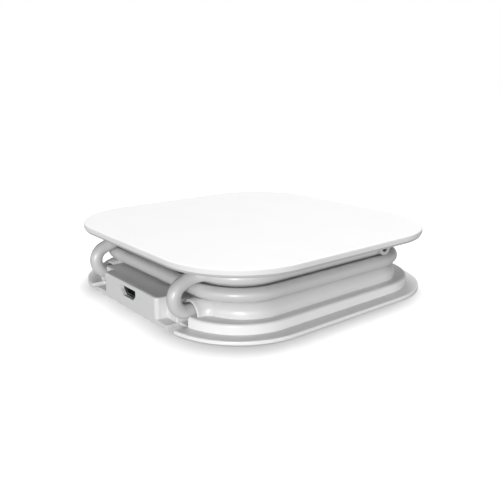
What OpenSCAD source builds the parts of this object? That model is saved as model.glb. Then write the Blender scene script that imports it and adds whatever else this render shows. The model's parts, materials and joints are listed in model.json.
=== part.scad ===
// Wireless charging pad with a cord store.
// A thin square charging plate stands on a hub. The cord is wound round the hub, between the plate
// and a stepped base, and a connector block with the input socket sits in a bay at the front.
// Origin: centre of the footprint, on the surface that the feet stand on. +Z up, socket faces -Y.

/* [Plate] */
// Width and depth of the charging plate
plate_w = 90; // [88:0.5:94]
// Radius of the plate's corners
plate_corner_r = 23.8; // [20:0.2:27]
// Height of the plate's upper face above the table
plate_top_z = 19.7; // [19.5:0.1:22]
// Height of the cover's outer skirt
rim_h = 1.6; // [1.4:0.1:2.2]
// Height of the tray's lip below the skirt
lip_h = 0.7; // [0.5:0.1:1.0]
// How far the lip is set in from the skirt
lip_inset = 0.35; // [0.2:0.05:0.8]
// Thickness of the cover's upper wall
cover_t = 1.0; // [0.8:0.1:1.1]

/* [Base] */
// Width and depth of the bottom flange
flange_w = 89.6; // [88:0.4:92]
// Height of the flange's upper face
flange_top_z = 1.3; // [1.1:0.1:1.5]
// Width of the step above the flange
step_w = 81.6; // [80:0.4:84]
// Height of the step's upper face
step_top_z = 4.1; // [3.9:0.1:4.3]
// Width of the deck that the cord rests on, across the sides
deck_w = 75.6; // [74:0.4:76.4]
// Height of the deck's upper face
deck_top_z = 8.1; // [7.9:0.1:8.2]
// Half width of the bay in the front of the base
bay_half_w = 24.4; // [24.4:0.1:25]

/* [Connector block] */
// Half width of the block behind its shoulders
block_half_w = 20.1; // [19:0.1:20.3]
// Half width of the block's nose
nose_half_w = 15.2; // [12:0.1:17]
// Height of the block's upper face
block_top_z = 7.4; // [7.0:0.1:7.8]
// Width of the socket cut-out
port_w = 8.8; // [8:0.1:9.4]
// Height of the socket cut-out
port_h = 3.1; // [2.9:0.1:3.4]

/* [Cord] */
// Outside diameter of the cord
cord_d = 3.8; // [3.4:0.1:3.9]
// Sides of the cord's solid
cord_sides = 8; // [8:1:14]

/* [Electronics] */
// Turns of the charging coil
coil_turns = 11; // [8:1:13]
// Spacing of the coil's turns
coil_pitch = 1.05; // [0.95:0.05:1.1]
// Width and depth of the ferrite sheet
ferrite_w = 50; // [48:1:54]

/* [Hidden] */

$fn = 48;
eps = 0.01;

plate_h = rim_h + lip_h;
skirt_z = plate_top_z - rim_h;
tray_z = plate_top_z - plate_h;
skirt_wall = 1.2;
tray_rim_h = 0.5;

flange_z = 0.2;
flange_corner_r = 23.2;
step_corner_r = 19.0;
deck_front_y = 35.8;
deck_corner_r = 14.0;
step_edge_r = 0.8;
deck_edge_r = 3.2;
shell_wall = 1.3;
bay_wall = 1.2;
shell_roof = 1.2;

hub_corner = 21.1;
lower_hub_w = 67.4;
lower_hub_top_z = 12.1;
upper_hub_w = 64.4;
upper_hub_z = 9.0;
hub_wall = 1.4;

notch_half_w = 24.0;
notch_y = -40.4;
foot_front_y = -44.55;
shoulder_y = -41.3;
block_back_y = -33.9;
fit_gap = 0.1;

cord_x = 22.4;
mouth_r = 3.75;
mouth_inner_r = 2.85;
mouth_z = 4.2;
mouth_front_y = -38.7;

post_xy = 30.6;
post_top_z = 6.4;
hub_post_xy = 26.6;
hub_post_r = 2.4;
screw_r = 0.95;

port_x = -0.3;
port_z = 4.8;
port_chamfer = 1.5;
board_rest_z = 2.8;
board_upper_z = 3.55;

coil_z = 18.1;
coil_inner_r = 10.5;
ferrite_z = 16.95;
ferrite_t = 0.6;
carrier_z = 15.9;
carrier_t = ferrite_z - carrier_z;
shield_t = 0.5;

board_x = 50;
board_y = 42;
board_t = 1.2;
board_z = 5.2;
board_y0 = 3;
board_top_z = board_z + board_t;
board_hole_x = 21;
board_hole_y = 17;

pod_y = 20.8;
pod_r = 2.35;
pod_front_x = 37.9;
pod_back_x = 36.6;
lens_x = 37.3;
hub_screw_z = 5;
flex_x = 29.9;
pod_z = tray_z - pod_r;

// ---- shared shapes ----

// Rectangle of half sizes hx and hy with round corners of radius r
module round_rect(hx, hy, r) {
    square([2 * (hx - r), 2 * hy], center = true);
    square([2 * hx, 2 * (hy - r)], center = true);
    for (sx = [-1, 1], sy = [-1, 1])
        translate([sx * (hx - r), sy * (hy - r)]) circle(r = r, $fn = 96);
}

module round_slab(w, r, z0, z1, depth = 0) {
    half_depth = (depth == 0 ? w : depth) / 2;
    translate([0, 0, z0]) linear_extrude(z1 - z0) round_rect(w / 2, half_depth, r);
}

module round_tube(w, corner, z0, z1, wall) {
    difference() {
        round_slab(w, w / 2 - corner, z0, z1);
        round_slab(w - 2 * wall, w / 2 - wall - corner, z0 - 1, z1 + 1);
    }
}

// Slab whose upper edge is rounded with radius edge_r, in six short faces
module domed_slab(hx, hy, r, z0, z1, edge_r) {
    section = concat([[0, z0], [r, z0]],
                     [for (a = [0 : 15 : 90]) [r - edge_r + edge_r * cos(a), z1 - edge_r + edge_r * sin(a)]],
                     [[0, z1]]);
    translate([0, 0, z0]) linear_extrude(z1 - z0) square([2 * (hx - r), 2 * (hy - r)], center = true);
    for (turn = [0 : 3]) {
        odd = turn % 2 == 1;
        along = 2 * ((odd ? hy : hx) - r);
        out = (odd ? hx : hy) - r;
        rotate(90 * turn) {
            translate([along / 2, out, 0]) rotate_extrude(angle = 90, $fn = 96) polygon(section);
            translate([-along / 2, out, 0]) rotate([90, 0, 90]) linear_extrude(along) polygon(section);
        }
    }
}

// Box from its low corner to its high corner
module box(lo, hi) {
    translate(lo) cube(hi - lo);
}

module at_corners(x, y) {
    for (sx = [-1, 1], sy = [-1, 1]) translate([sx * x, sy * y, 0]) children();
}

// Cylinder along +Y
module rod_y(r, y0, y1) {
    translate([0, y0, 0]) rotate([-90, 0, 0]) cylinder(r = r, h = y1 - y0);
}

module on_left(left) {
    if (left) mirror([1, 0, 0]) children();
    else children();
}

// ---- plate ----

module top_cover() {
    color("white") difference() {
        round_slab(plate_w, plate_corner_r, skirt_z, plate_top_z);
        round_slab(plate_w - 2 * skirt_wall, plate_corner_r - skirt_wall,
                   skirt_z - 1, plate_top_z - cover_t);
    }
}

module pad_tray() {
    rim_w = plate_w - 2 * skirt_wall - 0.2;
    inner_w = upper_hub_w - 2 * hub_wall;
    color("whitesmoke") difference() {
        union() {
            round_slab(plate_w - 2 * lip_inset, plate_corner_r - lip_inset, tray_z, skirt_z);
            round_slab(rim_w, plate_corner_r - skirt_wall - 0.1, skirt_z - eps, skirt_z + tray_rim_h);
            round_slab(upper_hub_w, upper_hub_w / 2 - hub_corner, upper_hub_z, tray_z + eps);
        }
        difference() {
            round_slab(inner_w, inner_w / 2 - hub_corner, upper_hub_z - 1, plate_top_z);
            at_corners(hub_post_xy, hub_post_xy)
                translate([0, 0, upper_hub_z - 2]) cylinder(r = hub_post_r, h = carrier_z - upper_hub_z + 2);
        }
        round_slab(rim_w - 3, plate_corner_r - skirt_wall - 1.6, skirt_z, plate_top_z);
        at_corners(hub_post_xy, hub_post_xy) translate([0, 0, upper_hub_z - 1]) cylinder(r = screw_r, h = 9);
        box([pod_back_x - 0.3, pod_y - 1.6, tray_z - 1], [pod_back_x + 1.0, pod_y + 1.6, plate_top_z]);
    }
}

// ---- base ----

module base_plate() {
    color("whitesmoke") difference() {
        union() {
            round_slab(flange_w, flange_corner_r, flange_z, flange_top_z);
            at_corners(board_hole_x, board_hole_y)
                translate([0, board_y0, flange_z]) cylinder(r = 2.5, h = board_z - flange_z);
            at_corners(hub_post_xy, hub_post_xy)
                translate([0, 0, flange_z]) cylinder(r = hub_post_r, h = upper_hub_z - flange_z);
        }
        at_corners(hub_post_xy, hub_post_xy) {
            translate([0, 0, -1]) cylinder(r = 1.1, h = upper_hub_z + 2);
            translate([0, 0, -1]) cylinder(r = 1.9, h = hub_screw_z + 1);
        }
        box([-notch_half_w, -flange_w, -1], [notch_half_w, notch_y, 3]);
        at_corners(board_hole_x, board_hole_y)
            translate([0, board_y0, flange_top_z]) cylinder(r = screw_r, h = board_z);
        at_corners(post_xy, post_xy) {
            translate([0, 0, -1]) cylinder(r = 1.4, h = 4);
            translate([0, 0, -1]) cylinder(r = 2.3, h = 1.7);
        }
        at_corners(27, 35) translate([0, 0, -1]) cylinder(r = 3.6, h = 1.7);
    }
}

module mouth_outline(r) {
    translate([cord_x + 0.15, mouth_z]) circle(r = r);
}

// Tunnel that the cord enters, on the +X side
module tunnel_mouth() {
    intersection() {
        translate([0, block_back_y + 0.4, 0]) rotate([90, 0, 0])
            linear_extrude(block_back_y + 0.4 - mouth_front_y) mouth_outline(mouth_r);
        box([block_half_w + fit_gap, mouth_front_y, step_top_z - 0.5], [30, -33, deck_top_z]);
    }
}

module tunnel_bore() {
    translate([0, block_back_y + 0.4, 0]) rotate([90, 0, 0])
        linear_extrude(block_back_y + 2 - mouth_front_y) mouth_outline(mouth_inner_r);
}

module housing_shell() {
    step_in = step_w - 2 * shell_wall;
    deck_in = deck_w - 2 * shell_wall;
    difference() {
        union() {
            domed_slab(step_w / 2, step_w / 2, step_corner_r, flange_top_z, step_top_z, step_edge_r);
            domed_slab(deck_w / 2, deck_front_y, deck_corner_r, step_top_z - eps, deck_top_z, deck_edge_r);
            for (left = [false, true]) on_left(left) tunnel_mouth();
        }
        round_slab(step_in, step_corner_r - shell_wall, 0, step_top_z - shell_roof);
        round_slab(deck_in, deck_corner_r - shell_wall, 0, deck_top_z - shell_roof,
                   2 * (deck_front_y - shell_wall));
        round_slab(lower_hub_w - 1, lower_hub_w / 2 - 0.5 - hub_corner, 0, deck_top_z + 1);
        box([-bay_half_w, -step_w, 0], [bay_half_w, block_back_y, step_top_z + eps]);
        box([-block_half_w - fit_gap, -step_w, 0], [block_half_w + fit_gap, block_back_y, deck_top_z + 1]);
    }
}

module bay_walls() {
    intersection() {
        round_slab(step_w, step_corner_r, flange_top_z, step_top_z - 0.2);
        for (side = [-1, 1]) translate([side * (bay_half_w + bay_wall / 2), 0, 0])
            box([-bay_wall / 2, -step_w, 0], [bay_wall / 2, block_back_y + 0.7, step_top_z]);
    }
}

module base_housing() {
    color("white") difference() {
        union() {
            housing_shell();
            bay_walls();
            round_tube(lower_hub_w, hub_corner, flange_top_z, lower_hub_top_z, hub_wall);
            at_corners(post_xy, post_xy)
                translate([0, 0, flange_top_z]) cylinder(r = 2.3, h = post_top_z - flange_top_z);
        }
        for (left = [false, true]) on_left(left) tunnel_bore();
        at_corners(post_xy, post_xy) cylinder(r = screw_r, h = 6.1);
        for (side = [-1, 1]) translate([side * cord_x, 0, low_arm_z]) rod_y(2.8, -34.5, -31);
        box([-6, -34.5, flange_top_z + 0.6], [6, -31, flange_top_z + 3.2]);
    }
}

module rubber_feet() {
    color("gainsboro") at_corners(27, 35) cylinder(r = 3.5, h = 0.7);
}

// ---- cord ----

// Points on a circle in the horizontal plane, angles in degrees
function flat_arc(cx, cy, z, r, a0, a1, n) =
    [for (i = [0 : n]) let (a = a0 + (a1 - a0) * i / n) [cx + r * cos(a), cy + r * sin(a), z]];

function mirrored(points) = [for (p = points) [-p[0], p[1], p[2]]];
function reversed(list) = [for (i = [len(list) - 1 : -1 : 0]) list[i]];

bend_r = 4.05;
bend_y = -39.35;
bend_z = 8.85;
low_arm_z = bend_z - bend_r;
upper_half = 34.45;
upper_z = 14.05;
upper_r = upper_half - hub_corner;
lower_half = 36.05;
lower_z = 10.1;
lower_r = lower_half - hub_corner;

// From the gland through the tunnel mouth, up the bend and over the lower turn
mouth_run = concat(
    [[cord_x, -32.6, low_arm_z], [cord_x, -36, low_arm_z], [cord_x, -38.1, low_arm_z]],
    [for (i = [0 : 8]) let (a = 270 - 162 * i / 8)
        [cord_x, bend_y + bend_r * cos(a), bend_z + bend_r * sin(a)]],
    [[cord_x, -38.6, 13.5], [22.7, -36.8, 14.0], [23.7, -35.1, 14.25], [25.0, -34.05, 14.25]]
);
// Once round the lower level, from the back to the back again
lower_turn = concat(
    flat_arc(-hub_corner, hub_corner, lower_z, lower_r, 90, 180, 5),
    flat_arc(-hub_corner, -hub_corner, lower_z, lower_r, 180, 270, 5),
    flat_arc(hub_corner, -hub_corner, lower_z, lower_r, 270, 360, 5),
    flat_arc(hub_corner, hub_corner, lower_z, lower_r, 0, 90, 5)
);
// At the back one strand steps down and the other rises over it on the outside
step_down = [[17, 34.5, 14.0], [13, 34.6, 13.9], [9, 35.0, 13.5], [5, 35.5, 12.8], [1, 35.9, 12.0],
             [-3, 36.0, 11.2], [-7, 36.05, 10.6], [-11, 36.05, 10.2], [-15, 36.05, 10.1]];
rise_over = [[16, 36.4, 10.1], [12, 37.6, 10.4], [8, 38.8, 11.0], [4, 39.7, 11.9], [0, 39.8, 13.0],
             [-4, 39.1, 13.9], [-8, 37.8, 14.4], [-12, 36.2, 14.5], [-16, 35.0, 14.25]];
upper_right = concat(
    flat_arc(hub_corner, -hub_corner, upper_z, upper_r, 296, 360, 4),
    flat_arc(hub_corner, hub_corner, upper_z, upper_r, 0, 90, 5)
);
upper_left = concat(
    flat_arc(-hub_corner, hub_corner, upper_z, upper_r, 90, 180, 5),
    flat_arc(-hub_corner, -hub_corner, upper_z, upper_r, 180, 244, 4)
);
cord_route = concat(mouth_run, upper_right, step_down, lower_turn, rise_over, upper_left,
                    reversed(mirrored(mouth_run)));

function unit(v) = v / norm(v);
function tangent(p, i) = unit(p[min(i + 1, len(p) - 1)] - p[max(i - 1, 0)]);
function flattened(v, t) = unit(v - (v * t) * t);

// A tube of radius r along the points, its rings carried along without twist
module tube_along(points, r, sides) {
    count = len(points);
    side_dirs = [for (i = 0, d = flattened([1, 0, 0], tangent(points, 0)); i < count;
                      i = i + 1, d = i < count ? flattened(d, tangent(points, i)) : d) d];
    ring = [for (k = [0 : sides - 1]) r * [cos(360 * k / sides), sin(360 * k / sides)]];
    rings = [for (i = [0 : count - 1]) let (u = side_dirs[i], v = cross(tangent(points, i), u))
                 for (c = ring) points[i] + c[0] * u + c[1] * v];
    walls = [for (i = [0 : count - 2], k = [0 : sides - 1])
                 let (a = i * sides + k, b = i * sides + (k + 1) % sides)
                 for (face = [[a, a + sides, b], [b, a + sides, b + sides]]) face];
    first_cap = [for (k = [0 : sides - 1]) k];
    last_cap = [for (k = [sides - 1 : -1 : 0]) (count - 1) * sides + k];
    polyhedron(rings, concat(walls, [first_cap, last_cap]));
}

module cord() {
    color("whitesmoke") tube_along(cord_route, cord_d / 2, cord_sides);
}

module cord_gland(left) {
    color("gainsboro") on_left(left) translate([cord_x, 0, low_arm_z]) difference() {
        union() {
            rod_y(2.75, -34.4, -31.2);
            rod_y(3.2, -32.1, -31.2);
        }
        rod_y(cord_d / 2 + 0.02, -35, -32.6);
        rod_y(1.5, -33, -30);
    }
}
module cord_gland_right() { cord_gland(false); }
module cord_gland_left() { cord_gland(true); }

// Inner wires of the cord: a pair from each gland to its board
module cord_wires_right() {
    colors = ["red", "black"];
    for (i = [0, 1]) color(colors[i]) tube_along([
        [22 + 1.3 * i, -32.5, 4.7], [21.5 + 1.3 * i, -29, 5.2], [19 + 1.4 * i, -24.5, 6.8],
        [17 + 1.6 * i, -20, 7.7], [16.6 + 1.6 * i, -17.4, 7.4], [16.5 + 1.6 * i, -16, 6.9]], 0.5, 8);
}

module cord_wires_left() {
    color("white") tube_along([
        [-22, -32.5, 4.7], [-21.3, -30.4, 4.4], [-18.5, -28.6, 3.6], [-12, -28.2, 2.8],
        [-6, -28.9, 2.6], [-3.4, -31, 2.6], [-2.6, -33.8, 2.5], [-2.4, -36.4, 2.28]], 0.5, 8);
    color("green") tube_along([
        [-23.3, -32.5, 4.7], [-23, -30.2, 4.5], [-20, -27, 3.6], [-12, -26.6, 2.8],
        [-4.8, -27.4, 2.6], [-1.8, -31, 2.6], [-1, -33.8, 2.5], [-0.8, -36.4, 2.28]], 0.5, 8);
}

// ---- connector block ----

module socket_outline(w, h, chamfer) {
    polygon([[-w / 2, h / 2], [w / 2, h / 2], [w / 2, -h / 2 + chamfer], [w / 2 - chamfer, -h / 2],
             [-w / 2 + chamfer, -h / 2], [-w / 2, -h / 2 + chamfer]]);
}

module socket_prism(w, h, chamfer, y0, y1) {
    translate([port_x, y1, port_z]) rotate([90, 0, 0]) linear_extrude(y1 - y0) socket_outline(w, h, chamfer);
}

module connector_housing() {
    wall = 1.2;
    body_front_y = notch_y - fit_gap;
    color("white") difference() {
        union() {
            box([-nose_half_w, foot_front_y, 0], [nose_half_w, body_front_y, block_top_z]);
            box([-block_half_w, foot_front_y, 0], [block_half_w, body_front_y, flange_top_z]);
            box([-block_half_w, shoulder_y, flange_top_z],
                [block_half_w, block_back_y - fit_gap, block_top_z]);
        }
        difference() {
            union() {
                box([-nose_half_w + wall, foot_front_y + wall, wall],
                    [nose_half_w - wall, block_back_y, block_top_z - wall]);
                box([-block_half_w + wall, shoulder_y + wall, wall],
                    [block_half_w - wall, block_back_y, block_top_z - wall]);
            }
            for (side = [-1, 1]) box([side * 7.5 - 1, -43, 0], [side * 7.5 + 1, -40.6, board_rest_z]);
        }
        socket_prism(port_w, port_h, port_chamfer, foot_front_y - 1, foot_front_y + wall + 0.5);
    }
}

module connector_back_cover() {
    color("gainsboro") difference() {
        box([-block_half_w + 1.3, block_back_y - 1.2, flange_top_z + 0.1],
            [block_half_w - 1.3, block_back_y - 0.2, block_top_z - 1.3]);
        box([-4, block_back_y - 2, 1], [4, block_back_y, 3.6]);
    }
}

module input_board() {
    color("darkgreen") difference() {
        box([-11, -43.1, board_rest_z], [11, -35.6, board_upper_z]);
        for (side = [-1, 1]) translate([side * 9, -37.2, 2]) cylinder(r = 0.8, h = 3);
    }
}

module input_capacitors() {
    color("tan") for (x = [-8.6, -6.2, 6.4, 8.8]) box([x - 0.8, -40.8, board_upper_z], [x + 0.8, -38.2, 4.6]);
}

shell_front_y = foot_front_y + 1.35;

module usb_shell() {
    color("silver") difference() {
        socket_prism(7.5, 2.5, 1.1, shell_front_y, shell_front_y + 5.2);
        socket_prism(7.0, 2.0, 0.95, shell_front_y - 1, shell_front_y + 4.9);
    }
}

module usb_tongue() {
    color("dimgray") union() {
        translate([port_x, 0, port_z]) box([-2.2, shell_front_y + 0.6, 0.1], [2.2, shell_front_y + 4.6, 0.7]);
        translate([port_x, 0, port_z])
            box([-2.7, shell_front_y + 3.9, -0.8], [2.7, shell_front_y + 4.9, 0.95]);
    }
}

module usb_contacts() {
    color("gold") for (i = [-2 : 2]) translate([port_x + 0.65 * i, 0, port_z])
        box([-0.16, shell_front_y + 0.8, -0.02], [0.16, shell_front_y + 3.9, 0.1]);
}

// ---- charging coil and its stack ----

// Upper edge of the winding's section: one bead for each turn, joined side to side
coil_edge = concat(
    [for (i = [0 : coil_turns - 1], p = [[0, 0.2], [0.23, 0.48], [0.77, 0.48]])
        [coil_inner_r + coil_pitch * (i + p[0]), p[1]]],
    [[coil_inner_r + coil_pitch * coil_turns, 0.2]]
);

module charging_coil() {
    lower_edge = reversed([for (p = coil_edge) [p[0], -p[1]]]);
    color("peru") translate([0, 0, coil_z]) rotate_extrude($fn = 96) polygon(concat(coil_edge, lower_edge));
}

module ferrite_sheet() {
    color("dimgray") difference() {
        round_slab(ferrite_w, 3, ferrite_z, ferrite_z + ferrite_t);
        box([-2, -ferrite_w, ferrite_z - 1], [2, -coil_inner_r + 2, ferrite_z + 2]);
        translate([0, 0, ferrite_z - 1]) cylinder(r = 1, h = 3);
    }
}

module coil_carrier() {
    color("lightgray") difference() {
        round_slab(61.2, 9.5, carrier_z, ferrite_z);
        at_corners(hub_post_xy, hub_post_xy)
            translate([0, 0, carrier_z - 1]) cylinder(r = 1.1, h = 4);
        box([flex_x - 0.4, pod_y - 1.3, carrier_z - 1], [31, pod_y + 1.3, ferrite_z + 1]);
        box([-2.4, -40, carrier_z - 1], [2.4, -24, ferrite_z + 1]);
        translate([0, 0, carrier_z - 1]) cylinder(r = 3, h = 4);
    }
}

module shield_plate() {
    color("silver") difference() {
        round_slab(46, 4, carrier_z - shield_t, carrier_z);
        translate([0, 0, carrier_z - 2]) cylinder(r = 3, h = 4);
    }
}

module coil_leads() {
    starts = [-coil_inner_r - 0.5, -coil_inner_r - coil_pitch * coil_turns + 0.5];
    color("peru") for (i = [0, 1]) tube_along([
        [2.4 * i - 1.2, starts[i], 17.1], [2.4 * i - 1.2, -25.6, 17.1], [2.4 * i - 1.2, -27.2, 16.4],
        [2.4 * i - 1.2, -27.8, 14.5], [2.4 * i - 1.2, -27.2, 11], [2.4 * i - 1.2, -24.6, 8.8],
        [2.4 * i - 1.2, -20, 7.6], [2.4 * i - 1.2, -17.2, 6.85]], 0.42, 8);
}

module thermistor() {
    color("black") translate([0, 0, ferrite_z + ferrite_t]) cylinder(r = 1.4, h = 1.05);
    color("gray") for (x = [-0.5, 0.5])
        translate([x, 0, board_top_z]) cylinder(r = 0.25, h = ferrite_z + ferrite_t - board_top_z);
}

// ---- main board ----

module main_board() {
    color("darkgreen") difference() {
        box([-board_x / 2, board_y0 - board_y / 2, board_z],
            [board_x / 2, board_y0 + board_y / 2, board_top_z]);
        at_corners(board_hole_x, board_hole_y) translate([0, board_y0, board_z - 1]) cylinder(r = 1.2, h = 4);
    }
}

module chip(x, y, w, d, h) {
    box([x - w / 2, y - d / 2, board_top_z], [x + w / 2, y + d / 2, board_top_z + h]);
}

module controller_chip() {
    color("black") chip(-6, 6, 7, 7, 0.9);
}

module bridge_transistors() {
    color("black") for (i = [0 : 3]) chip(5 + 5 * (i % 2), -6 + 5 * floor(i / 2), 3.3, 3.3, 0.8);
}

module resonant_capacitors() {
    color("tan") for (i = [0 : 3]) chip(-9 + 4.4 * i, -12.5, 3.2, 2.5, 1.8);
}

module power_inductor() {
    color("gray") difference() {
        chip(12, 12, 7.2, 7.2, 3.2);
        translate([12, 12, board_top_z + 2.9]) cylinder(r = 1.4, h = 1);
    }
}

module filter_capacitors() {
    color("silver") for (y = [-3, 4]) translate([-17, y, board_top_z]) cylinder(r = 2.6, h = 5.4);
}

// ---- status light ----

module pod_body(r) {
    translate([pod_back_x, pod_y, pod_z]) rotate([0, 90, 0]) cylinder(r = r, h = pod_front_x - pod_back_x);
}

module status_bezel() {
    color("whitesmoke") difference() {
        union() {
            pod_body(pod_r);
            box([pod_back_x, pod_y - 1.5, pod_z], [pod_back_x + 0.95, pod_y + 1.5, skirt_z]);
        }
        translate([lens_x, pod_y, pod_z]) rotate([0, 90, 0]) cylinder(r = 1.4, h = 2);
        translate([pod_back_x - 1, pod_y, pod_z]) rotate([0, 90, 0]) cylinder(r = 1.0, h = 3);
    }
}

module status_lens() {
    color("black") translate([lens_x, pod_y, pod_z]) rotate([0, 90, 0]) cylinder(r = 1.38, h = 0.3);
}

module status_led() {
    color("khaki") box([pod_back_x, pod_y - 0.65, pod_z - 0.5], [lens_x - 0.05, pod_y + 0.65, pod_z + 0.5]);
}

module led_flex() {
    strip = 0.15;
    lo_y = pod_y - 1;
    hi_y = pod_y + 1;
    color("orange") union() {
        box([pod_back_x - strip, lo_y, pod_z - 0.5], [pod_back_x, hi_y, skirt_z + strip]);
        box([flex_x, lo_y, skirt_z], [pod_back_x, hi_y, skirt_z + strip]);
        box([flex_x, lo_y, board_top_z], [flex_x + strip, hi_y, skirt_z + strip]);
        box([23.6, lo_y, board_top_z], [flex_x + strip, hi_y, board_top_z + strip]);
    }
}

// ---- screws ----

// Pan-head screw, head at z = 0 and its shank pointing down
module pan_screw(r, length, head_r, head_h) {
    difference() {
        union() {
            cylinder(r = head_r, h = head_h);
            translate([0, 0, -length]) cylinder(r = r, h = length + eps);
        }
        for (a = [0, 90]) rotate(a)
            box([-head_r * 0.6, -0.2, head_h * 0.45], [head_r * 0.6, 0.2, head_h + 1]);
    }
}

module carrier_screws() {
    color("silver") at_corners(hub_post_xy, hub_post_xy)
        translate([0, 0, ferrite_z]) pan_screw(screw_r - 0.05, 3.4, 1.8, 0.7);
}

module board_screws() {
    color("silver") at_corners(board_hole_x, board_hole_y)
        translate([0, board_y0, board_top_z]) pan_screw(screw_r - 0.05, 4.4, 1.8, 1);
}

module base_screws() {
    color("silver") at_corners(post_xy, post_xy)
        translate([0, 0, 0.7]) rotate([180, 0, 0]) pan_screw(screw_r - 0.05, 5.2, 2.1, 0.4);
}

module hub_screws() {
    color("silver") at_corners(hub_post_xy, hub_post_xy)
        translate([0, 0, hub_screw_z]) rotate([180, 0, 0]) pan_screw(screw_r - 0.05, 7.6, 1.75, 1);
}

top_cover();
pad_tray();
base_housing();
base_plate();
rubber_feet();
cord();
cord_gland_right();
cord_gland_left();
cord_wires_right();
cord_wires_left();
connector_housing();
connector_back_cover();
input_board();
input_capacitors();
usb_shell();
usb_tongue();
usb_contacts();
coil_carrier();
charging_coil();
coil_leads();
ferrite_sheet();
shield_plate();
thermistor();
main_board();
controller_chip();
bridge_transistors();
resonant_capacitors();
power_inductor();
filter_capacitors();
status_bezel();
status_lens();
status_led();
led_flex();
carrier_screws();
board_screws();
base_screws();
hub_screws();
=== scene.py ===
import json
import math

import bmesh
import bpy
from mathutils import Matrix, Vector


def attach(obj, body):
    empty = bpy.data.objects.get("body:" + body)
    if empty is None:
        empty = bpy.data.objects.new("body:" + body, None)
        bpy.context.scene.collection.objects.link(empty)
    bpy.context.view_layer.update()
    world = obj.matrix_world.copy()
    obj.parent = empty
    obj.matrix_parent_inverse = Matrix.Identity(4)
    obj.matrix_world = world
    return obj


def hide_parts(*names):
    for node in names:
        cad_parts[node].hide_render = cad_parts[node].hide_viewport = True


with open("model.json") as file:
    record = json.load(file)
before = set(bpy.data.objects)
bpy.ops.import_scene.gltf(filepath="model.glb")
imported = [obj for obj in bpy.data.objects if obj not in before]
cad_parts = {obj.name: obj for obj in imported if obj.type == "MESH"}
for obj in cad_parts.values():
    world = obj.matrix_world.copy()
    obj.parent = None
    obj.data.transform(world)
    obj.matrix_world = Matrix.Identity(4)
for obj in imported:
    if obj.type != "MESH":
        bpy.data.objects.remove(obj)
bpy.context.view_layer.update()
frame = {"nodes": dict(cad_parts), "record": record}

MM = 0.001


def linked(name, data):
    """A new object of that data, in the scene."""
    obj = bpy.data.objects.new(name, data)
    bpy.context.scene.collection.objects.link(obj)
    return obj


def toward(azimuth, elevation):
    """The direction at that azimuth (0 is the socket's side, 90 the +X side) and elevation, in degrees."""
    a, e = math.radians(azimuth), math.radians(elevation)
    return Vector((math.sin(a) * math.cos(e), -math.cos(a) * math.cos(e), math.sin(e)))


# ---------------------------------------------------------------- camera

CAM_AZIMUTH, CAM_ELEVATION, CAM_ROLL = 50.818, 15.459, 0.1
CAM_PLACE = (145.58, -118.86, 61.64)
CAM_LENS, CAM_SENSOR = 43.08, 36

backward = toward(CAM_AZIMUTH, CAM_ELEVATION)
side = toward(CAM_AZIMUTH + 90, 0)
up = backward.cross(side)
cam_x = math.cos(math.radians(CAM_ROLL)) * side + math.sin(math.radians(CAM_ROLL)) * up

cam_data = bpy.data.cameras.new("camera")
cam_data.sensor_width = CAM_SENSOR
cam_data.lens = CAM_LENS
cam_data.clip_start = 0.01
cam_data.clip_end = 10
cam = linked("camera", cam_data)
turn = Matrix((cam_x, backward.cross(cam_x), backward)).transposed().to_4x4()
cam.matrix_world = Matrix.Translation(Vector(CAM_PLACE) * MM) @ turn
bpy.context.scene.camera = cam


# ---------------------------------------------------------------- shapes (millimetres in, metres out)

def piece(name, verts, faces, smooth=True):
    mesh = bpy.data.meshes.new(name)
    mesh.from_pydata([Vector(v) * MM for v in verts], [], faces)
    mesh.validate()
    obj = linked(name, mesh)
    bm = bmesh.new()
    bm.from_mesh(mesh)
    bmesh.ops.recalc_face_normals(bm, faces=bm.faces)
    bm.to_mesh(mesh)
    bm.free()
    for p in mesh.polygons:
        p.use_smooth = smooth
    return obj


def bands(rows, count, closed=False):
    """The faces between neighbouring rings of count vertices; closed joins the last ring to the first."""
    faces = []
    for j in range(rows if closed else rows - 1):
        a, b = j * count, (j + 1) % rows * count
        for i in range(count):
            k = (i + 1) % count
            faces.append((a + i, a + k, b + k, b + i))
    return faces


def caps(rows, count):
    """The faces that close the first and the last ring."""
    return [tuple(range(count - 1, -1, -1)), tuple((rows - 1) * count + i for i in range(count))]


def circle(sides):
    return [2 * math.pi * k / sides for k in range(sides)]


def arc(cx, cy, r, a0, a1, n=6):
    """Points on the circle about (cx, cy), from a0 to a1 degrees in n steps."""
    angles = [math.radians(a0 + (a1 - a0) * i / n) for i in range(n + 1)]
    return [(cx + r * math.cos(a), cy + r * math.sin(a)) for a in angles]


def fillet(inset, z, radius, start, end, n):
    """(inset, z) points of a rounded edge about (inset, z); 0 degrees points outward and 90 up."""
    return [(inset - out, height) for out, height in arc(0, z, radius, start, end, n)]


def corner_ring(hx, hy, r, z, n):
    """A round-cornered rectangle at height z, with n steps in each corner."""
    corners = ((1, -1, -90), (1, 1, 0), (-1, 1, 90), (-1, -1, 180))
    return [(x, y, z) for sx, sy, a in corners
            for x, y in arc(sx * (hx - r), sy * (hy - r), r, a, a + 90, n)]


def ring_body(name, hx, hy, r, profile, n=24, tubular=False):
    """A round-cornered rectangle, inset by profile's (inset, z) pairs; tubular closes the profile."""
    verts = [v for inset, z in profile
             for v in corner_ring(hx - inset, hy - inset, max(r - inset, 0.05), z, n)]
    rows, count = len(profile), 4 * (n + 1)
    return piece(name, verts, bands(rows, count, tubular) + ([] if tubular else caps(rows, count)))


def box_at(name, lo, hi):
    (x0, y0, z0), (x1, y1, z1) = lo, hi
    verts = [(x, y, z) for z in (z0, z1) for x, y in ((x0, y0), (x1, y0), (x1, y1), (x0, y1))]
    return piece(name, verts, caps(2, 4) + bands(2, 4), smooth=False)


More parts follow.
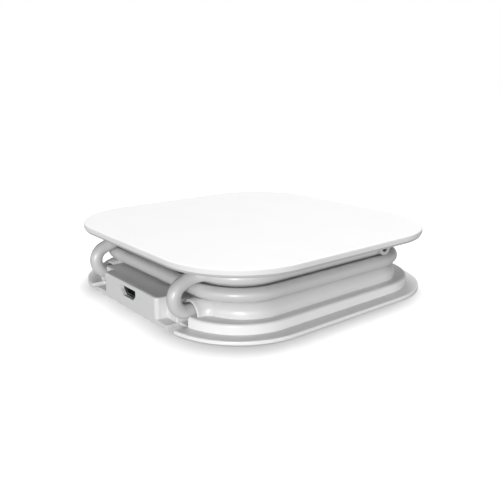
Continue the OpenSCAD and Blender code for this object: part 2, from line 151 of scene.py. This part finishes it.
def prism_y(name, outline, y0, y1):
    """An (x, z) outline pulled along Y."""
    verts = [(x, y, z) for y in (y0, y1) for x, z in outline]
    count = len(outline)
    return piece(name, verts, caps(2, count) + bands(2, count), smooth=False)


def lathe_y(name, cx, cz, profile, steps=48):
    """A closed (radius, y) profile turned about the line x = cx, z = cz."""
    verts = [(cx + r * math.cos(a), y, cz + r * math.sin(a)) for a in circle(steps) for r, y in profile]
    return piece(name, verts, bands(steps, len(profile), closed=True))


def rods(name, x, y, r, z0, z1, sides=32):
    """Four upright rods, at the mirrored places of (x, y)."""
    verts, faces = [], []
    for sx, sy in ((1, 1), (-1, 1), (-1, -1), (1, -1)):
        faces += [tuple(len(verts) + i for i in face) for face in bands(2, sides) + caps(2, sides)]
        verts += [(sx * x + r * math.cos(a), sy * y + r * math.sin(a), z)
                  for z in (z0, z1) for a in circle(sides)]
    return piece(name, verts, faces)


def left_of(v):
    v = v.normalized()
    return Vector((-v.y, v.x, 0))


def outline_body(name, outline, z0, z1, edge_r, n=4):
    """An (x, y) outline, counter-clockwise, pulled up from z0 to z1 with its top edge rounded."""
    points = [Vector((x, y, 0)) for x, y in outline]
    rows = [(0, z0)] + fillet(edge_r, z1 - edge_r, edge_r, 0, 90, n)
    verts = []
    for inset, z in rows:
        for before, p, after in zip(points[-1:] + points, points, points[1:] + points[:1]):
            first = left_of(p - before)
            inward = (first + left_of(after - p)).normalized()
            place = p + inward * inset * (1 / max(inward.dot(first), 0.3))
            verts.append((place.x, place.y, z))
    return piece(name, verts, bands(len(rows), len(points)) + caps(len(rows), len(points)))


def mix(u, v, start, end, t):
    return u * (end - t) / (end - start) + v * (t - start) / (end - start)


def catmull(points, per):
    """A centripetal Catmull-Rom curve through the points, with per steps between neighbours."""
    p = [Vector(q) for q in points]
    p = [2 * p[0] - p[1]] + p + [2 * p[-1] - p[-2]]
    out = []
    for a, b, c, d in zip(p, p[1:], p[2:], p[3:]):
        t1 = (b - a).length ** 0.5
        t2 = t1 + (c - b).length ** 0.5
        t3 = t2 + (d - c).length ** 0.5
        for k in range(per):
            t = t1 + (t2 - t1) * k / per
            middle = mix(b, c, t1, t2, t)
            first = mix(mix(a, b, 0, t1, t), middle, 0, t2, t)
            last = mix(middle, mix(c, d, t2, t3, t), t1, t3, t)
            out.append(mix(first, last, t1, t2, t))
    return out + [p[-2]]


def tube(name, points, radius, sides=24):
    """A round tube along the points, its rings carried along without twist."""
    verts = []
    across = Vector((1, 0, 0))
    for i, p in enumerate(points):
        along = (points[min(i + 1, len(points) - 1)] - points[max(i - 1, 0)]).normalized()
        across = (across - across.dot(along) * along).normalized()
        other = along.cross(across)
        verts += [p + radius * (math.cos(a) * across + math.sin(a) * other) for a in circle(sides)]
    return piece(name, verts, bands(len(points), sides) + caps(len(points), sides))


# ---------------------------------------------------------------- changes to a shape

def applied(obj):
    """The object, with its modifiers made part of its mesh."""
    bpy.context.view_layer.update()
    graph = bpy.context.evaluated_depsgraph_get()
    mesh = bpy.data.meshes.new_from_object(obj.evaluated_get(graph))
    obj.modifiers.clear()
    obj.data = mesh
    return obj


def cut(obj, *tools, mode="DIFFERENCE"):
    """Cuts the tools away, or joins them (UNION) or keeps what is in them (INTERSECT), and uses them up."""
    for tool in tools:
        mod = obj.modifiers.new("cut", "BOOLEAN")
        mod.operation = mode
        mod.solver = "EXACT"
        mod.object = tool
        applied(obj)
        bpy.data.objects.remove(tool)


def smooth_by_angle(obj, angle=40):
    """Smooth shading, with the edges at or above the angle kept sharp and the normals weighted by area."""
    if obj.modifiers:
        applied(obj)
    mesh = obj.data
    bm = bmesh.new()
    bm.from_mesh(mesh)
    for f in bm.faces:
        f.smooth = True
    for e in bm.edges:
        e.smooth = e.calc_face_angle(0) < math.radians(angle)
    bm.to_mesh(mesh)
    bm.free()
    mod = obj.modifiers.new("normals", "WEIGHTED_NORMAL")
    mod.keep_sharp = True
    mod.weight = 80
    applied(obj)


def soften(obj, width, angle):
    """Rounds the edges sharper than the angle, then shades the rest smoothly."""
    weld = obj.modifiers.new("weld", "WELD")
    weld.merge_threshold = 0.01 * MM
    mod = obj.modifiers.new("bevel", "BEVEL")
    mod.width = width * MM
    mod.segments = 3
    mod.limit_method = "ANGLE"
    mod.angle_limit = math.radians(angle)
    mod.harden_normals = False
    mod.miter_outer = "MITER_ARC"
    smooth_by_angle(obj)


# ---------------------------------------------------------------- the cord

CORD_R = 1.9
CORD_X = 22.4                 # its two ends, from the middle
BEND_R, BEND_Y, BEND_Z = 4.05, -39.35, 8.85
END_Z = BEND_Z - BEND_R       # the stretch in the tunnel
HUB_TURN = 21.1               # the centres of the hub's round corners
UPPER = (34.45, 14.05)        # each level's distance from the middle, and height
LOWER = (36.05, 10.1)


def level_arc(level, sx, sy, a0, a1, n=10):
    half, z = level
    return [(x, y, z) for x, y in arc(sx * HUB_TURN, sy * HUB_TURN, half - HUB_TURN, a0, a1, n)]


def straight(level, a, b, n=6):
    """Points on the straight from a to b, in (x, y), its ends left out."""
    a, b = Vector((*a, level[1])), Vector((*b, level[1]))
    return [tuple(a.lerp(b, i / n)) for i in range(1, n)]


def side_run(level, sx, sy):
    """The straight along a side, from sy to the other way."""
    half = sx * level[0]
    return straight(level, (half, sy * HUB_TURN), (half, -sy * HUB_TURN))


mouth = ([(CORD_X, -32.6, END_Z), (CORD_X, -36, END_Z), (CORD_X, -38.1, END_Z)]
         + [(CORD_X, y, z) for y, z in arc(BEND_Y, BEND_Z, BEND_R, 270, 108, 10)]
         + [(CORD_X, -38.6, 13.5), (22.7, -36.8, 14.0), (23.7, -35.1, 14.25), (25.0, -34.05, 14.25)])
upper_right = level_arc(UPPER, 1, -1, 296, 360, 8) + side_run(UPPER, 1, -1) + level_arc(UPPER, 1, 1, 0, 90)
step_down = [(17, 34.5, 14.0), (13, 34.6, 13.9), (9, 35.0, 13.5), (5, 35.5, 12.8), (1, 35.9, 12.0),
             (-3, 36.0, 11.2), (-7, 36.05, 10.6), (-11, 36.05, 10.2), (-15, 36.05, 10.1)]
lower_turn = (level_arc(LOWER, -1, 1, 90, 180) + side_run(LOWER, -1, 1) + level_arc(LOWER, -1, -1, 180, 270)
              + straight(LOWER, (-HUB_TURN, -LOWER[0]), (HUB_TURN, -LOWER[0]))
              + level_arc(LOWER, 1, -1, 270, 360) + side_run(LOWER, 1, -1) + level_arc(LOWER, 1, 1, 0, 90))
rise_over = [(16, 36.4, 10.1), (12, 37.6, 10.4), (8, 38.8, 11.0), (4, 39.7, 11.9), (0, 39.8, 13.0),
             (-4, 39.1, 13.9), (-8, 37.8, 14.4), (-12, 36.2, 14.5), (-16, 35.0, 14.25)]
upper_left = level_arc(UPPER, -1, 1, 90, 180) + side_run(UPPER, -1, 1) + level_arc(UPPER, -1, -1, 180, 244, 8)
other_mouth = [(-x, y, z) for x, y, z in reversed(mouth)]
route = mouth + upper_right + step_down + lower_turn + rise_over + upper_left + other_mouth
cord = tube("cord_wound", catmull(route, 4), CORD_R)


# ---------------------------------------------------------------- materials

FINE_SCALE, PATCH_SCALE = 900, 60       # the grain's noise, and the broad patches' noise
ROUGH_SWING = 0.06                      # how far the grain moves the roughness, as a part of it
PATCH_DARK, PATCH_LIGHT = 0.975, 1.02   # how far the patches move the colour


def grey(value):
    return (value, value, value)


def noise_node(tree, coords, scale, detail):
    noise = tree.nodes.new("ShaderNodeTexNoise")
    noise.inputs["Scale"].default_value = scale
    noise.inputs["Detail"].default_value = detail
    tree.links.new(coords.outputs["Object"], noise.inputs["Vector"])
    return noise.outputs["Fac"]


def material(name, colour, rough, metal=0.0, grain=0.0, grain_scale=FINE_SCALE, coat=0.0, spec=0.5):
    mat = bpy.data.materials.new(name)
    mat.use_nodes = True
    tree = mat.node_tree
    nodes, links = tree.nodes, tree.links
    shader = nodes["Principled BSDF"]
    for socket, value in (("Base Color", (*colour, 1)), ("Roughness", rough), ("Metallic", metal),
                          ("Specular IOR Level", spec), ("Coat Weight", coat), ("Coat Roughness", 0.3)):
        shader.inputs[socket].default_value = value
    coords = nodes.new("ShaderNodeTexCoord")

    fine = noise_node(tree, coords, grain_scale, 4)
    spread = nodes.new("ShaderNodeMapRange")
    spread.inputs["To Min"].default_value = rough * (1 - ROUGH_SWING)
    spread.inputs["To Max"].default_value = min(rough * (1 + ROUGH_SWING), 1)
    links.new(fine, spread.inputs["Value"])
    links.new(spread.outputs["Result"], shader.inputs["Roughness"])

    tone = nodes.new("ShaderNodeMix")
    tone.data_type = "RGBA"
    tone.inputs["A"].default_value = (*[c * PATCH_DARK for c in colour], 1)
    tone.inputs["B"].default_value = (*[min(c * PATCH_LIGHT, 1) for c in colour], 1)
    links.new(noise_node(tree, coords, PATCH_SCALE, 3), tone.inputs["Factor"])
    links.new(tone.outputs["Result"], shader.inputs["Base Color"])

    if grain:
        bump = nodes.new("ShaderNodeBump")
        bump.inputs["Strength"].default_value = grain
        bump.inputs["Distance"].default_value = 0.02 * MM
        links.new(fine, bump.inputs["Height"])
        links.new(bump.outputs["Normal"], shader.inputs["Normal"])
    return mat


MATS = {
    "cover_white": material("white_gloss", grey(0.82), 0.42, grain=0.02, coat=0.1, spec=0.4),
    # The tray lip's white is painted down to grey 0.5, as painted shade for the crevice under the plate's
    # rim.
    "tray_white": material("white_tray_painted_shade", grey(0.5), 0.4, grain=0.05),
    # The base white and the step white are shaded and lit copies of one white plastic: the step's copy, on
    # the flange and the step, is painted lighter and the base's copy darker, as painted light and shade.
    "base_white": material("white_base_painted_shade", grey(0.74), 0.38, grain=0.05, coat=0.6),
    "step_white_painted_light": material("white_step_painted_light", grey(0.88), 0.38, grain=0.05, coat=0.6),
    # The cord's white is painted darker than the housing's, as painted shade for the shade under the plate.
    "cord_white": material("white_cord_painted_shade", grey(0.59), 0.4, grain=0.08, grain_scale=1400, coat=0.6),
    "gland_rubber": material("gland_rubber", grey(0.7), 0.7),
    "foot_rubber": material("foot_rubber", grey(0.6), 0.8),
    "wire_insulation": material("wire_insulation", (0.55, 0.03, 0.02), 0.45),
    "socket_steel": material("socket_steel", (0.4, 0.4, 0.41), 0.3, metal=1.0),
    "socket_black": material("socket_black", grey(0.012), 0.5),
    "contact_gold": material("contact_gold", (0.85, 0.6, 0.22), 0.25, metal=1.0),
    "board_green": material("board_green", (0.005, 0.03, 0.012), 0.5),
    "chip_black": material("chip_black", grey(0.015), 0.5),
    "ceramic_tan": material("ceramic_tan", (0.35, 0.22, 0.12), 0.5),
    "can_aluminium": material("can_aluminium", (0.75, 0.75, 0.77), 0.3, metal=1.0),
    "ferrite_grey": material("ferrite_grey", (0.035, 0.035, 0.037), 0.6),
    "copper_wire": material("copper_wire", (0.75, 0.3, 0.14), 0.3, metal=1.0),
    "carrier_grey": material("carrier_grey", grey(0.5), 0.55),
    "shield_aluminium": material("shield_aluminium", (0.75, 0.75, 0.77), 0.35, metal=1.0),
    "screw_steel": material("screw_steel", (0.6, 0.6, 0.62), 0.35, metal=1.0),
    "lens_dark": material("lens_dark", (0.01, 0.01, 0.011), 0.12, coat=0.5),
    "led_body": material("led_body", (0.7, 0.62, 0.3), 0.4),
    "flex_amber": material("flex_amber", (0.4, 0.16, 0.02), 0.35),
}


def paint(obj, mat):
    obj.data.materials.clear()
    obj.data.materials.append(mat)


def fitted(obj, node, slot, look=None):
    """The piece stands for the CAD node, rides on the pad, and takes the slot's material, or look's."""
    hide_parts(node)
    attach(obj, "root")
    paint(obj, MATS[look or slot])


slots = {s["node"]: s["material_slot"] for s in frame["record"]["subparts"]}
for node_name, node_obj in frame["nodes"].items():
    paint(node_obj, MATS[slots[node_name]])
# The wound cord takes the cord white, darkened as painted shade.
fitted(cord, "cord", "cord_white")


# ---------------------------------------------------------------- plate

COVER_HALF, COVER_CORNER = 45, 23.8
COVER_BOTTOM, COVER_TOP = 18.1, 19.7
COVER_WALL, COVER_CEILING = 1.2, 18.7
RIM_LOW_R, RIM_HIGH_R = 0.2, 0.45
LIP_HALF, LIP_CORNER = 44.65, 23.45
LIP_BOTTOM, LIP_R = 17.4, 0.25


def hub_body(name, half, profile, n=24, tubular=False):
    """A body with the hub's outline, at that distance from the middle."""
    return ring_body(name, half, half, half - HUB_TURN, profile, n, tubular)


cover = ring_body(
    "cover_plate", COVER_HALF, COVER_HALF, COVER_CORNER,
    [(COVER_WALL, COVER_BOTTOM), (0.35, COVER_BOTTOM)]
    + fillet(RIM_LOW_R, COVER_BOTTOM + RIM_LOW_R, RIM_LOW_R, -90, 0, 3)
    + fillet(RIM_HIGH_R, COVER_TOP - RIM_HIGH_R, RIM_HIGH_R, 0, 90, 8)
    + [(inset, COVER_TOP) for inset in (0.8, 1.4, 3)], n=32)
cut(cover, ring_body("cut", COVER_HALF - COVER_WALL, COVER_HALF - COVER_WALL, COVER_CORNER - COVER_WALL,
                     [(0, COVER_BOTTOM - 1.1), (0, COVER_CEILING)], n=32))
smooth_by_angle(cover)
fitted(cover, "top_cover", "cover_white")

tray = ring_body("tray_lip", LIP_HALF, LIP_HALF, LIP_CORNER,
                 [(3, LIP_BOTTOM)] + fillet(LIP_R, LIP_BOTTOM + LIP_R, LIP_R, -90, 0, 4)
                 + [(0, COVER_BOTTOM), (1.0, COVER_BOTTOM)], n=32)
cut(tray, hub_body("collar", 32.2, [(0, 9), (0, 17.6)]), mode="UNION")
cut(tray, hub_body("cut", 30.8, [(0, 8), (0, 19)]))
smooth_by_angle(tray)
# The tray lip takes the darkened tray white, its painted shade.
fitted(tray, "pad_tray", "tray_white")


# ---------------------------------------------------------------- base

FLANGE_HALF, FLANGE_CORNER = 44.8, 23.2
FLANGE_BOTTOM, FLANGE_TOP, FLANGE_EDGE = 0.2, 1.3, 0.3
STEP_HALF, STEP_CORNER = 40.8, 19.0
STEP_TOP, STEP_EDGE = 4.1, 0.8
DECK_SIDE, DECK_FRONT, DECK_CORNER = 37.8, 35.8, 14.0
DECK_TOP, DECK_EDGE = 8.1, 3.2
HUB_OUT, HUB_BORE, HUB_TOP = 33.7, 32.3, 12.1
BAY_BACK = -33.9              # the front bay for the connector block is cut back to here
FLANGE_BAY, STEP_BAY, DECK_BAY = 24, 24.4, 20.2     # its half width in each layer


def bay(half_width, back):
    """A cutter from well in front of the base, back to y = back."""
    return box_at("cut", (-half_width, -60, -1), (half_width, back, DECK_TOP + 4))


def hub_hole():
    return hub_body("cut", HUB_BORE, [(0, 0), (0, 20)])


# The flange, with its bay and, from below, the hollows for the feet and the screws' two-step holes
flange = ring_body("base_flange", FLANGE_HALF, FLANGE_HALF, FLANGE_CORNER,
                   [(0.3, FLANGE_BOTTOM), (0, FLANGE_BOTTOM + 0.15)]
                   + fillet(FLANGE_EDGE, FLANGE_TOP - FLANGE_EDGE, FLANGE_EDGE, 0, 90, 4)
                   + [(0.6, FLANGE_TOP), (2, FLANGE_TOP)], n=32)
cut(flange, bay(FLANGE_BAY, -40.4))
for x, y, r, top in ((27, 35, 3.6, 0.7), (30.6, 30.6, 2.3, 0.7), (26.6, 26.6, 1.9, 1.25)):
    cut(flange, rods("cut", x, y, r, -1, top))
smooth_by_angle(flange)
# The flange takes the step's lighter copy of the housing white, as painted light.
fitted(flange, "base_plate", "base_white", look="step_white_painted_light")

housing = ring_body("housing_steps", STEP_HALF, STEP_HALF, STEP_CORNER,
                    [(0, FLANGE_TOP)] + fillet(STEP_EDGE, STEP_TOP - STEP_EDGE, STEP_EDGE, 0, 90, 7)
                    + [(1.2, STEP_TOP), (3, STEP_TOP)], n=32)
cut(housing, hub_hole(), bay(STEP_BAY, BAY_BACK))
soften(housing, 0.25, angle=50)

deck = ring_body("housing_deck", DECK_SIDE, DECK_FRONT, DECK_CORNER,
                 [(0, 4.0)] + fillet(DECK_EDGE, DECK_TOP - DECK_EDGE, DECK_EDGE, 0, 90, 14)
                 + [(3.5, DECK_TOP)], n=32)
cut(deck, hub_hole(), bay(DECK_BAY, BAY_BACK))
hub = hub_body("housing_hub", HUB_OUT,
               [(0, FLANGE_TOP)] + fillet(0.3, HUB_TOP - 0.3, 0.3, 0, 90, 3)
               + [(1.4, HUB_TOP), (1.4, FLANGE_TOP)], tubular=True)

# The arched mouths of the cord's two tunnels, each with a flare that runs out into the deck's face
TUNNEL_X, TUNNEL_Z, TUNNEL_R = 22.6, 4.2, 2.85
ARCH_R = 3.75                 # outside, before the flare
ARCH_PROFILE = [(6.8, -33.5), (6.8, -35.7), (6.3, -35.8), (5.6, -35.86), (5.0, -36.0), (4.5, -36.25),
                (4.1, -36.7), (3.85, -37.3), (3.78, -37.8), (ARCH_R, -38.3), (3.66, -38.6), (3.42, -38.75),
                (3.18, -38.75), (2.94, -38.6), (TUNNEL_R, -38.3), (TUNNEL_R, -33.5)]
ARCH_END, ARCH_BOTTOM, ARCH_TOP = 31, 4.05, 8.05    # what is kept of it, from the bay outward
FOLLOW_RUN = 1.15             # past ARCH_R by this much, the flare wholly follows the deck's face
SHADE_FROM, SHADE_RUN = 4.4, 1.7                    # where its shading turns into the deck's


def deck_face(x, z):
    """The y of the deck's front face at x and z, in mm, and the normal there."""
    rise = min(max(z - (DECK_TOP - DECK_EDGE), 0) / DECK_EDGE, 1)
    level = math.sqrt(1 - rise * rise)
    reach = DECK_CORNER - DECK_EDGE + DECK_EDGE * level
    across = max(abs(x) - (DECK_SIDE - DECK_CORNER), 0) / reach
    front = math.sqrt(1 - across * across)
    normal = Vector((math.copysign(across, x) * level, -front * level, rise))
    return DECK_CORNER - DECK_FRONT - reach * front, normal


def reach_from(tunnel_x, x, z):
    return math.hypot(x - tunnel_x, z - TUNNEL_Z)


def fit_to_deck(arch, tunnel_x):
    """Moves the flare back and forth with the deck's face, which is curved in plan and in section."""
    for v in arch.data.vertices:
        x, y, z = v.co / MM
        past = reach_from(tunnel_x, x, z) - ARCH_R
        if past > 0.01:
            v.co.y = (y + (deck_face(x, z)[0] + DECK_FRONT) * min(past / FOLLOW_RUN, 1)) * MM


def shade_with_deck(arch, tunnel_x):
    """Gives the flare's outer part the deck's normals, so that no seam shows."""
    mesh = arch.data
    normals = []
    for loop in mesh.loops:
        n = mesh.corner_normals[loop.index].vector.copy()
        x, y, z = mesh.vertices[loop.vertex_index].co / MM
        face = deck_face(x, z)[1]
        if n.dot(face) > 0.5:
            share = (reach_from(tunnel_x, x, z) - SHADE_FROM) / SHADE_RUN
            n = n.lerp(face, min(max(share, 0), 1)).normalized()
        normals.append(n)
    mesh.normals_split_custom_set(normals)


for s, name in ((-1, "tunnel_mouth_left"), (1, "tunnel_mouth_right")):
    arch = lathe_y(name, s * TUNNEL_X, TUNNEL_Z, ARCH_PROFILE)
    fit_to_deck(arch, s * TUNNEL_X)
    x0, x1 = sorted((s * DECK_BAY, s * ARCH_END))
    cut(arch, box_at("keep", (x0, -45, ARCH_BOTTOM), (x1, -30, ARCH_TOP)), mode="INTERSECT")
    cut(deck, lathe_y("cut", s * TUNNEL_X, TUNNEL_Z,
                      [(0.01, -45), (TUNNEL_R, -45), (TUNNEL_R, BAY_BACK), (0.01, BAY_BACK)]))
    smooth_by_angle(arch, 35)
    shade_with_deck(arch, s * TUNNEL_X)
    fitted(arch, "base_housing", "base_white")
soften(deck, 0.25, angle=50)
smooth_by_angle(hub)
# The step takes the lighter copy, as painted light; the deck and the hub take the darker base copy, as
# painted shade.
fitted(housing, "base_housing", "base_white", look="step_white_painted_light")
fitted(deck, "base_housing", "base_white")
fitted(hub, "base_housing", "base_white")


# ---------------------------------------------------------------- connector block

NOSE_HALF, NOSE_FRONT, NOSE_R = 15.2, -44.55, 1.2
SHOULDER_HALF, SHOULDER_FRONT, SHOULDER_R = 20.1, -41.3, 0.5
BLOCK_BACK, BLOCK_TOP, BLOCK_EDGE = -34.0, 7.4, 0.5
SOCKET_X, SOCKET_Z, SOCKET_WIDE, SOCKET_HIGH, SOCKET_CHAMFER = -0.3, 4.8, 8.8, 3.1, 1.5

half_outline = (arc(NOSE_HALF - NOSE_R, NOSE_FRONT + NOSE_R, NOSE_R, -90, 0) + [(NOSE_HALF, SHOULDER_FRONT)]
                + arc(SHOULDER_HALF - SHOULDER_R, SHOULDER_FRONT + SHOULDER_R, SHOULDER_R, -90, 0, 3)
                + [(SHOULDER_HALF, BLOCK_BACK)])
block = outline_body("connector_block", half_outline + [(-x, y) for x, y in reversed(half_outline)],
                     FLANGE_TOP, BLOCK_TOP, BLOCK_EDGE)
foot = box_at("foot", (-SHOULDER_HALF, NOSE_FRONT, 0), (SHOULDER_HALF, -40.5, FLANGE_TOP + 0.01))
soften(foot, 0.15, angle=50)
cut(block, foot, mode="UNION")
cut(block, box_at("cut", (-14, -43.35, 1.2), (14, -33, 6.2)))

left, right = SOCKET_X - SOCKET_WIDE / 2, SOCKET_X + SOCKET_WIDE / 2
bottom, top = SOCKET_Z - SOCKET_HIGH / 2, SOCKET_Z + SOCKET_HIGH / 2
cut(block, prism_y("cut", [(left, top), (right, top), (right, bottom + SOCKET_CHAMFER),
                           (right - SOCKET_CHAMFER, bottom), (left + SOCKET_CHAMFER, bottom),
                           (left, bottom + SOCKET_CHAMFER)], -50, -42.8))
# The two fine lines beside the socket
for x0, x1 in ((-8.2, -5.6), (5.0, 7.2)):
    cut(block, box_at("cut", (x0, -45, 5.02), (x1, -44.45, 5.14)))
smooth_by_angle(block, 35)
fitted(block, "connector_housing", "base_white")


# ---------------------------------------------------------------- floor and light

floor_mesh = bpy.data.meshes.new("floor")
floor_mesh.from_pydata([(-4, -4, 0), (4, -4, 0), (4, 4, 0), (-4, 4, 0)], [], [(0, 1, 2, 3)])
floor = linked("floor", floor_mesh)
floor_mat = material("floor_white", grey(0.9), 0.9, spec=0.0)
floor_shader = floor_mat.node_tree.nodes["Principled BSDF"]
floor_shader.inputs["Emission Color"].default_value = (1, 1, 1, 1)
floor_shader.inputs["Emission Strength"].default_value = 0.15
floor.data.materials.append(floor_mat)
floor.visible_diffuse = False
floor.visible_glossy = False

# The surroundings are plain white to look at; as a light they are a band at the horizon, with less below it
world = bpy.data.worlds.new("world")
world.use_nodes = True
sky, sky_links = world.node_tree.nodes, world.node_tree.links
sky["Background"].inputs["Color"].default_value = (1, 1, 1, 1)
direction = sky.new("ShaderNodeTexCoord")
split = sky.new("ShaderNodeSeparateXYZ")
sky_links.new(direction.outputs["Generated"], split.inputs[0])


def height_ramp(from_min, from_max, to_min, to_max):
    """A strength that goes from to_min to to_max as the view's height goes from from_min to from_max."""
    ramp = sky.new("ShaderNodeMapRange")
    for socket, value in (("From Min", from_min), ("From Max", from_max),
                          ("To Min", to_min), ("To Max", to_max)):
        ramp.inputs[socket].default_value = value
    sky_links.new(split.outputs["Z"], ramp.inputs["Value"])
    return ramp.outputs["Result"]


def sky_math(operation, first, second):
    node = sky.new("ShaderNodeMath")
    node.operation = operation
    sky_links.new(first, node.inputs[0])
    sky_links.new(second, node.inputs[1])
    return node.outputs[0]


band = sky_math("MULTIPLY", height_ramp(0.18, 0.12, 0, 1), height_ramp(-0.06, -0.03, 0.3, 0.75))
seen = sky.new("ShaderNodeLightPath")
sky_links.new(sky_math("MAXIMUM", seen.outputs["Is Camera Ray"], band), sky["Background"].inputs["Strength"])
bpy.context.scene.world = world

# Broad soft suns: name, azimuth, elevation, spread in degrees, strength
for name, azimuth, elevation, spread, strength in (
        ("low_left", 5, 7, 12, 0.12), ("low_front", 42, 7, 12, 0.64), ("low_right", 72, 7, 12, 0.12),
        ("back", 215, 50, 40, 0.36), ("top_front", 50, 80, 30, 0.07), ("top_back", 230, 78, 34, 0.86)):
    sun_data = bpy.data.lights.new(name, "SUN")
    sun_data.energy = math.pi * strength
    sun_data.angle = math.radians(spread)
    sun = linked(name, sun_data)
    sun.rotation_mode = "QUATERNION"
    sun.rotation_quaternion = toward(azimuth, elevation).to_track_quat("Z", "Y")

scene = bpy.context.scene
scene.view_settings.view_transform = "Standard"
scene.view_settings.look = "None"
